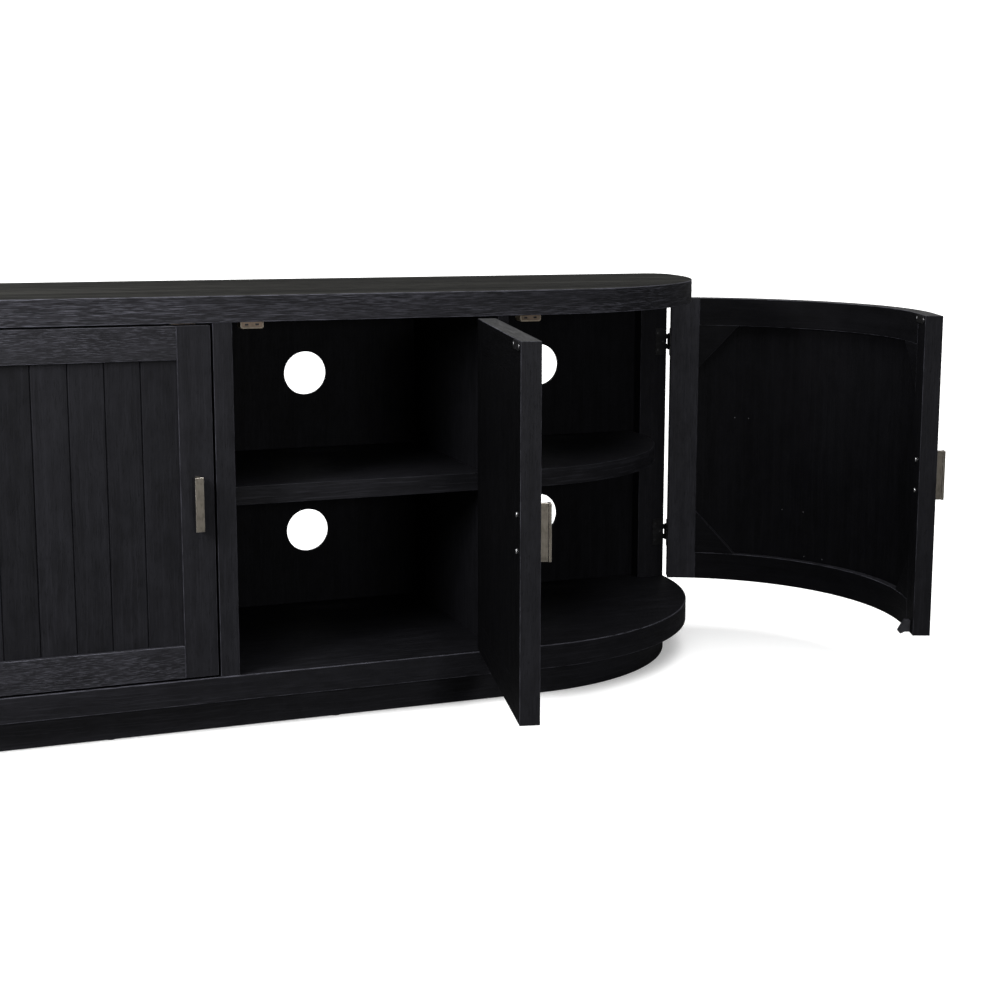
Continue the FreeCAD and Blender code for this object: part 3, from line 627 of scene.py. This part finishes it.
# ---------------------------------------------------------------- doors
class Door:
    """A closed door of the right half.

    s runs along its face from the free edge, v runs into its depth.
    """

    def __init__(self, kind, side, free_x, straight, arc_angle, stile_width, planks):
        self.kind = kind
        self.side = side
        self.name = kind + "_" + side
        self.free_x = free_x
        self.straight = straight
        self.length = straight + math.radians(arc_angle) * FACE_RADIUS
        self.curved = arc_angle > 0
        self.rail_end = self.length - stile_width
        self.planks = planks
        self.place = MIRROR if side == "left" else self.opened()

    def opened(self):
        """The stored pose of a right door: its joint's range says how far open it stands."""
        joint = JOINTS[self.name + "_hinge"]
        angle = -math.radians(joint["range_deg"][0])
        pin = Vector(joint["pos_m"])
        return Matrix.Translation(pin) @ Matrix.Rotation(angle, 4, "Z") @ Matrix.Translation(-pin)

    def point(self, s, v):
        if s <= self.straight:
            return (self.free_x + s, FACE_Y + v)
        turn = (s - self.straight) / FACE_RADIUS - math.pi / 2
        reach = FACE_RADIUS - v
        return (ARC_X + reach * math.cos(turn), ARC_Y + reach * math.sin(turn))

    def locate(self, co):
        """s and v of a point."""
        if not self.curved or co.x <= ARC_X:
            return co.x - self.free_x, co.y - FACE_Y
        turn = math.atan2(co.y - ARC_Y, co.x - ARC_X) + math.pi / 2
        reach = math.hypot(co.x - ARC_X, co.y - ARC_Y)
        return self.straight + turn * FACE_RADIUS, FACE_RADIUS - reach

    def inward(self, co):
        """Direction from the door's face into the cabinet."""
        if not self.curved or co.x <= ARC_X:
            return Vector((0, 1, 0))
        return Vector((ARC_X - co.x, ARC_Y - co.y, 0)).normalized()

    def stops(self, s0, s1):
        """Distances along the door, close together where it bends."""
        if not self.curved or s1 <= self.straight:
            return [s0, s1]
        bend = max(s0, self.straight)
        found = [s0, bend] if bend > s0 else [s0]
        count = max(1, math.ceil((s1 - bend) / FACE_RADIUS / math.radians(ARC_STEP)))
        return found + [bend + (s1 - bend) * i / count for i in range(1, count + 1)]

    def band(self, s0, s1, v0, v1, z0, z1):
        stops = self.stops(s0, s1)
        outer, inner = ([self.point(s, v) for s in stops] for v in (v0, v1))
        return strip(outer, inner, z0, z1)

    def grain_up(self, co, normal):
        s, v = self.locate(co)
        return (co.z, s, v)

    def grain_along(self, co, normal):
        s, v = self.locate(co)
        return (s, co.z, v)

    def within_rear(self, co):
        """Whether a point is on the inner side and not at the door's own edges."""
        s, v = self.locate(co)
        along = EDGE_ZONE < s < self.length - EDGE_ZONE
        return along and v > DOOR_T / 2 and DOOR_Z0 + EDGE_ZONE < co.z < DOOR_Z1 - EDGE_ZONE

    def dress(self, bm, faces, suffix, nodes, coords, tones=None, inside=None):
        """Dark inner faces (on the flat doors darkened as painted shade), lighter grey top faces, and the piece
        put in its stored place.
        """
        if inside is None:
            inside = OAK_CURVED_INSIDE if self.curved else OAK_DOOR_INSIDE_SHADED
        paint_grain(bm, self.name + suffix, coords, tones)
        for face in bm.faces:
            centre = face.calc_center_median()
            if face.material_index == 1:
                if not self.curved and self.within_rear(centre):
                    face.material_index = 2
            elif face.normal.dot(self.inward(centre)) > 0.8:
                face.material_index = 2
            elif face.normal.z > 0.9 and centre.z > DOOR_Z1 - DOOR_EASE:
                face.material_index = 3
        materials = faces + [inside, OAK_DOOR_TOPS]
        names = [self.name + "_" + node for node in nodes]
        show("oak_" + self.name + suffix, bm, self.name, names, materials, self.place)


def door_stiles(door):
    free = ease(door.band(0, FRAME_W, 0, DOOR_T, DOOR_Z0, DOOR_Z1), DOOR_EASE)
    door.dress(free, OAK_STILE, "_free_stile", ["free_stile"], door.grain_up)
    hinge = ease(door.band(door.rail_end, door.length, 0, DOOR_T, DOOR_Z0, DOOR_Z1), DOOR_EASE)
    # The curved door's hinge stile takes the lighter inner copy, painted light.
    inside = OAK_PAINTED_LIT_INSIDE if door.curved else None
    door.dress(hinge, OAK_STILE, "_hinge_stile", ["hinge_stile"], door.grain_up, inside=inside)


def door_rails(door):
    heights = ((DOOR_Z0, DOOR_Z0 + FRAME_W), (DOOR_Z1 - FRAME_W, DOOR_Z1))
    both = [ease(door.band(FRAME_W, door.rail_end, 0, DOOR_T, z0, z1), DOOR_EASE)
            for z0, z1 in heights]
    door.dress(joined(both), OAK_RAIL, "_rails", ["rails"], door.grain_along)


def door_panel(door):
    """Planks with upright V grooves on the outside, smooth inside.

    A flat door's panel has a thick middle that is level with the frame's inner faces.
    """
    pitch = (door.rail_end - FRAME_W) / door.planks
    groove = ((-GROOVE_W, 0), (GROOVE_LIP - GROOVE_W, GROOVE_LIP), (0, GROOVE_D),
              (GROOVE_W - GROOVE_LIP, GROOVE_LIP), (GROOVE_W, 0))
    outside = [(FRAME_W - TONGUE, PANEL_FRONT)]
    for index in range(door.planks):
        start = FRAME_W + index * pitch
        if index:
            outside += [(start + s, PANEL_FRONT + v) for s, v in groove]
        if door.curved:
            outside += [(start + pitch * part, PANEL_FRONT) for part in PLANK_BENDS]
    outside.append((door.rail_end + TONGUE, PANEL_FRONT))
    stops = door.stops(FRAME_W - TONGUE, door.rail_end + TONGUE)
    inside = [(s, PANEL_REAR) for s in reversed(stops)]
    outline = [door.point(s, v) for s, v in outside + inside]
    bm = prism(outline, DOOR_Z0 + FRAME_W - TONGUE, DOOR_Z1 - FRAME_W + TONGUE)
    if not door.curved:
        around = FRAME_W + FIELD_GAP
        field = door.band(around, door.length - around, PANEL_REAR - FIELD_SUNK, DOOR_T,
                          DOOR_Z0 + around, DOOR_Z1 - around)
        bm = joined([bm, ease(field, FIELD_EASE)])
    chance = random.Random(door.name + "_planks")
    tones = [(chance.uniform(-1, 1), chance.uniform(0, 9)) for _ in range(door.planks)]

    def plank_tone(centre):
        s, v = door.locate(centre)
        if v > PANEL_REAR - FIELD_SUNK:
            return (0.0, 0.0)
        index = int(max(0, min(door.planks - 1, (s - FRAME_W) // pitch)))
        return tones[index]

    door.dress(bm, OAK_PLANK, "_planks", ["plank_panel"], door.grain_up, plank_tone)


def door_gussets(door):
    """Triangular blocks that stiffen the frame's inner corners."""
    blocks = []
    for corner_s, way in ((FRAME_W, 1), (door.rail_end, -1)):
        for corner_z, rise in ((DOOR_Z0 + FRAME_W, 1), (DOOR_Z1 - FRAME_W, -1)):
            sections = []
            for i in range(GUSSET_STEPS + 1):
                run = (GUSSET - GUSSET_TIP) * i / GUSSET_STEPS
                top = corner_z + rise * (GUSSET - run)
                rear, front = (door.point(corner_s + way * run, v) for v in (PANEL_REAR, DOOR_T))
                sections.append([(*rear, corner_z), (*front, corner_z), (*front, top),
                                 (*rear, top)])
            blocks.append(ease(loft(sections), GUSSET_EASE))
    door.dress(joined(blocks), OAK_SHELF, "_gussets", ["gussets"], door.grain_along)


def pull(door):
    """T-shaped bar pull with rounded arrises, read from its CAD box on the closed left door."""
    low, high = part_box(door.kind + "_left_handle")
    middle = -(low.x + high.x) / 2
    half = (high.x - low.x) / 2
    plate = low.y + PULL_PLATE
    outline = [(middle - half, low.y), (middle + half, low.y), (middle + half, plate),
               (middle + PULL_WEB, plate), (middle + PULL_WEB, high.y), (middle - PULL_WEB, high.y),
               (middle - PULL_WEB, plate), (middle - half, plate)]
    bm = ease(prism(outline, low.z, high.z), METAL_EASE)
    paint_grain(bm, door.name + "_pull", upright_grain)
    # Its rounded arrises take the lighter pewter, a painted highlight.
    show("pewter_" + door.name + "_pull", bm, door.name, [door.name + "_handle"],
         [PEWTER, PEWTER_EDGE_HIGHLIGHT], door.place)


def strike_plate(door):
    """Dark plate with two bright domed screw heads."""
    low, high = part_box(door.kind + "_left_strike_plate")
    middle_x, middle_z = -(low.x + high.x) / 2, (low.z + high.z) / 2
    half, face = (high.x - low.x) / 2, low.y + STRIKE_PLATE
    corner = (high.z - low.z) / 2 - MM
    outline = []
    for x, z, start in ((1, 1, 0), (-1, 1, 90), (-1, -1, 180), (1, -1, 270)):
        centre_x, centre_z = middle_x + x * (half - corner), middle_z + z * MM
        outline += arc_points(centre_x, centre_z, corner, start, start + 90, 15.0)
    parts = [ease(on_inner_face(outline, low.y, face), PLATE_EASE)]
    for x in (middle_x - STRIKE_SCREW_OUT, middle_x + STRIKE_SCREW_OUT):
        parts.append(screw_head(STRIKE_HEAD, Vector((x, face, middle_z)), Vector((0, 1, 0)), 2))
    bm = joined(parts)
    paint_grain(bm, door.name + "_strike", lengthwise_grain)
    show("steel_" + door.name + "_strike_plate", bm, door.name, [door.name + "_strike_plate"],
         [DARK_STEEL, DARK_STEEL, STEEL], door.place)


def hinge_screws(door):
    """Three screws in every leaf.  Half of the leaves ride on the door, half on the cabinet."""
    pin_x, pin_y, _ = JOINTS[door.name + "_hinge"]["pos_m"]
    into_gap = math.radians(180 if door.curved else 90)
    swing = Matrix.Translation((abs(pin_x), pin_y, 0)) @ Matrix.Rotation(into_gap, 4, "Z")
    fixed = MIRROR if pin_x < 0 else None
    for way, body, place in ((1, door.name, door.place), (-1, "cabinet", fixed)):
        heads = []
        for z in (DOOR_Z0 + HINGE_INSET, DOOR_Z1 - HINGE_INSET):
            for along, rise in LEAF_HOLES:
                spot = Vector((along * MM, way * LEAF_GAP, z + rise * MM))
                heads.append(screw_head(LEAF_HEAD, spot, Vector((0, -way, 0))))
        bm = joined(heads)
        bm.transform(swing)
        paint_grain(bm, door.name + "_hinge_screws", upright_grain)
        show(door.name + "_hinge_screws_" + body, bm, body, [], [BLACK_SCREW], place)


def panel_pins(door):
    """Small dull pins through the curved panel, here and there on its inner face."""
    heads = []
    for arc, height in PIN_PLACES:
        s = door.length - arc * MM * FACE_RADIUS / (FACE_RADIUS - PANEL_REAR)
        spot = Vector((*door.point(s, PANEL_REAR), height * MM))
        heads.append(screw_head(PIN_HEAD, spot, door.inward(spot)))
    bm = joined(heads)
    paint_grain(bm, door.name + "_pins", upright_grain)
    show(door.name + "_panel_pins", bm, door.name, [], [ZINC], door.place)


def flat_door(side):
    length = FLAT_HINGE_X - FLAT_FREE_X
    return Door("door", side, FLAT_FREE_X, length, 0.0, FRAME_W, FLAT_PLANKS)


def end_door(side):
    arc_angle = 90.0 - math.degrees(math.asin((ARC_Y - END_HINGE_Y) / FACE_RADIUS))
    stile = math.radians(END_STILE_ANGLE) * FACE_RADIUS
    return Door("end_door", side, END_FREE_X, ARC_X - END_FREE_X, arc_angle, stile, END_PLANKS)


# ---------------------------------------------------------------- everything of the object
def finish_node(node, material):
    """A CAD node that stays gets its finish."""
    piece = frame["nodes"][node]
    piece.data.materials.clear()
    piece.data.materials.append(material)


def magnetic_catches():
    """Four moulded catches with recessed fronts, two dark slots and rounded lower corners."""
    low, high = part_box("magnetic_catches")
    middle, outer = (low.x + high.x) / 2, (high.x - low.x - CATCH_W) / 2
    strike_lo, strike_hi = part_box("door_left_strike_plate")
    inner = abs(strike_lo.x + strike_hi.x) / 2
    size = Vector((CATCH_W, CATCH_DEPTH, CATCH_H))
    parts = []
    for x in (middle - outer, middle + outer, -inner, inner):
        start = Vector((x - CATCH_W / 2, low.y, low.z))
        bm = brick(start, start + size)
        lower = [edge for edge in bm.edges if all(vert.co.z < low.z + MM for vert in edge.verts)
                 and abs(edge.verts[0].co.y - edge.verts[1].co.y) > CATCH_DEPTH / 2]
        bmesh.ops.bevel(bm, geom=lower, offset=CATCH_ROUND, segments=5, profile=0.5, affect="EDGES")
        front = [face for face in bm.faces if face.normal.y < -0.9]
        bmesh.ops.inset_individual(bm, faces=front, thickness=CATCH_RIM, depth=0)
        bmesh.ops.inset_individual(bm, faces=front, thickness=CATCH_LIP, depth=-CATCH_RECESS)
        for face in front:
            face.material_index = 1
        parts.append(bm)
        for offset in (-CATCH_SLOT_OUT, CATCH_SLOT_OUT):
            start = Vector((x + offset - CATCH_SLOT[0] / 2, low.y + CATCH_SLOT_IN,
                            low.z + CATCH_SLOT_UP))
            dark = brick(start, start + Vector(CATCH_SLOT))
            for face in dark.faces:
                face.material_index = 2
            parts.append(dark)
    bm = joined(parts)
    paint_grain(bm, "magnetic_catches", lengthwise_grain)
    show("magnetic_catch_shells", bm, "cabinet", ["magnetic_catches"],
         [CATCH, CATCH_PLATE, BLACK_METAL])


def cabinet():
    slab("top_slab", TOP_LO, TOP_HI, OAK_SLAB + [OAK_TOP])
    slab("bottom_slab", BOTTOM_LO, BOTTOM_HI, OAK_BASE + [OAK_SHADED_DECK])
    plinth()
    board("plinth_back", lengthwise_grain, OAK_SHADED_INSIDE)
    board("centre_post", upright_grain, OAK_STILE)
    board("centre_divider", upright_grain, OAK_SHADED_INSIDE)
    for side, place in (("right", None), ("left", MIRROR)):
        board("divider_" + side, upright_grain, OAK_SHADED_INSIDE)
        board("shelf_flat_" + side, lengthwise_grain, OAK_SHELF)
        end_shelf(side, place)
        rear_post(side, place)
        back_panel("back_panel_inner_" + side)
        back_panel("back_panel_outer_" + side)
    finish_node("plinth_braces", BLACK_BOARD)
    finish_node("floor_glides", NYLON)
    finish_node("shelf_pins", ZINC)
    magnetic_catches()
    finish_node("hinge_frame_leaves", BLACK_METAL)
    finish_node("hinge_pins", BLACK_METAL)


def doors():
    for door in (flat_door("left"), flat_door("right"), end_door("left"), end_door("right")):
        door_stiles(door)
        door_rails(door)
        door_panel(door)
        pull(door)
        finish_node(door.name + "_handle_screws", STEEL)
        strike_plate(door)
        hinge_screws(door)
        finish_node(door.name + "_hinge_leaves", BLACK_METAL)
        if door.curved:
            door_gussets(door)
            panel_pins(door)
            finish_node(door.name + "_stop_lug", LUG)


cabinet()
doors()


# ---------------------------------------------------------------- floor, lights, camera
FLOOR_HALF = 30.0
FLOOR_BOUNCE = 0.13                 # how light the floor is to the cabinet
FLOOR_SEEN = 0.92                   # and to the camera, which also sees it glow
FLOOR_GLOW = 0.30
WORLD_STRENGTH = 0.22
WORLD_SEEN = 1.3
SUN_STRENGTH = 3.9
SUN_WIDTH = 70                      # degrees
SUN_TILT = (8, -8)
LEFT_BOX = {"place": (-1.45, -1.05, 1.25), "aim": (-1.30, -0.20, 0.65), "size": 0.8,
            "power": 66.0}
FRONT_BOX = {"place": (0.20, -2.90, 0.88), "aim": (0.20, 0.00, 0.30), "size": 0.3,
             "power": 20.0}
CAMERA_PLACE = (-610.89, -3178.45, 946.39)      # mm
CAMERA_TURN, CAMERA_DOWN, CAMERA_ROLL = 21.82, 9.44, 0.27       # degrees
CAMERA_LENS = 63.31
CAMERA_SHIFT = (-0.0332, -0.0223)


def pale_floor():
    bm = bmesh.new()
    corners = [bm.verts.new((x * FLOOR_HALF, y * FLOOR_HALF, 0))
               for x, y in ((-1, -1), (1, -1), (1, 1), (-1, 1))]
    bm.faces.new(corners)
    mesh = bpy.data.meshes.new("floor")
    bm.to_mesh(mesh)
    bm.free()
    floor = bpy.data.objects.new("floor", mesh)
    bpy.context.scene.collection.objects.link(floor)
    graph = Graph("pale_floor")
    seen = graph.add("ShaderNodeLightPath").outputs["Is Camera Ray"]
    colour = graph.mixed(seen, *shades(WHITE, FLOOR_BOUNCE, FLOOR_SEEN))
    glow = graph.math("MULTIPLY", seen, FLOOR_GLOW)
    mesh.materials.append(graph.finish({
        "Base Color": colour, "Roughness": 0.9, "Specular IOR Level": 0.0,
        "Emission Color": rgb(*WHITE), "Emission Strength": glow}))


def white_world():
    """Even light from all round, which the camera sees as a white background."""
    world = bpy.data.worlds.new("soft_white")
    world.use_nodes = True
    tree = world.node_tree
    tree.nodes.clear()
    ray = tree.nodes.new("ShaderNodeLightPath")
    strength = tree.nodes.new("ShaderNodeMix")
    strength.inputs[2].default_value = WORLD_STRENGTH
    strength.inputs[3].default_value = WORLD_SEEN
    background = tree.nodes.new("ShaderNodeBackground")
    background.inputs["Color"].default_value = rgb(*WHITE)
    output = tree.nodes.new("ShaderNodeOutputWorld")
    tree.links.new(ray.outputs["Is Camera Ray"], strength.inputs[0])
    tree.links.new(strength.outputs[0], background.inputs["Strength"])
    tree.links.new(background.outputs[0], output.inputs["Surface"])
    bpy.context.scene.world = world


def high_light():
    sun = bpy.data.lights.new("high_soft_light", "SUN")
    sun.energy = SUN_STRENGTH
    sun.angle = math.radians(SUN_WIDTH)
    lamp = bpy.data.objects.new("high_soft_light", sun)
    lamp.rotation_euler = (math.radians(SUN_TILT[0]), math.radians(SUN_TILT[1]), 0)
    bpy.context.scene.collection.objects.link(lamp)


def light_box(name, place, aim, size, power):
    """Square soft light that the camera doesn't see."""
    box = bpy.data.lights.new(name, "AREA")
    box.size = size
    box.energy = power
    lamp = bpy.data.objects.new(name, box)
    lamp.location = Vector(place)
    lamp.rotation_euler = (Vector(aim) - Vector(place)).to_track_quat("-Z", "Y").to_euler()
    lamp.visible_camera = False
    bpy.context.scene.collection.objects.link(lamp)


def camera():
    """Camera about a metre off the floor before the left half, looking right and a little down."""
    data = bpy.data.cameras.new("camera")
    data.sensor_width = 36.0
    data.lens = CAMERA_LENS
    data.shift_x, data.shift_y = CAMERA_SHIFT
    turn, down, roll = (math.radians(angle) for angle in (CAMERA_TURN, CAMERA_DOWN, CAMERA_ROLL))
    level = math.cos(down)
    ahead = Vector((math.sin(turn) * level, math.cos(turn) * level, -math.sin(down)))
    right = Vector((math.cos(turn), -math.sin(turn), 0))
    up = right.cross(ahead)
    rolled_right = math.cos(roll) * right + math.sin(roll) * up
    rolled_up = -math.sin(roll) * right + math.cos(roll) * up
    place = Matrix((rolled_right, rolled_up, -ahead)).transposed().to_4x4()
    place.translation = Vector(CAMERA_PLACE) * MM
    eye = bpy.data.objects.new("camera", data)
    eye.matrix_world = place
    bpy.context.scene.collection.objects.link(eye)
    bpy.context.scene.camera = eye


pale_floor()
white_world()
high_light()
light_box("left_light_box", **LEFT_BOX)
light_box("front_light_box", **FRONT_BOX)
camera()
bpy.context.scene.view_settings.view_transform = "Standard"
